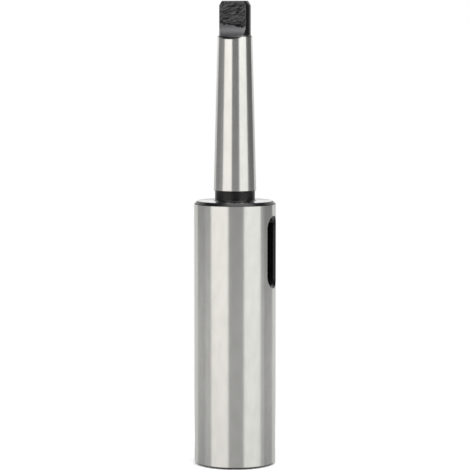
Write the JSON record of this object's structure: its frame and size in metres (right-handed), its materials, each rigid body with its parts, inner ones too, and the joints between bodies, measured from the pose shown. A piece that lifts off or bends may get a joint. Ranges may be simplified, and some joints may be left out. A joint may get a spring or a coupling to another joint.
{
  "type": "morse taper sleeve",
  "caption": "Extension sleeve for taper tooling: a ground tapered shank with a driving tang above a cylindrical body that holds a larger tapered socket, crossed by a drift slot.",
  "frame": {"origin": "centre of the socket's mouth face, which the sleeve stands on", "axes": "+Z along the sleeve's axis, from the mouth towards the tang; X through the drift slot; the tang's flats face +Y and -Y"},
  "size_m": [0.0348, 0.0348, 0.1976],
  "materials": {
    "ground_steel": "cylindrically ground bright on the body and the tapered shank, with the black heat-treatment oxide left on the tang, the neck, the bevels, the shoulder's rim and the drift slot"
  },
  "bodies": {
    "root": {"sleeve": "ground_steel"}
  },
  "joints": []
}
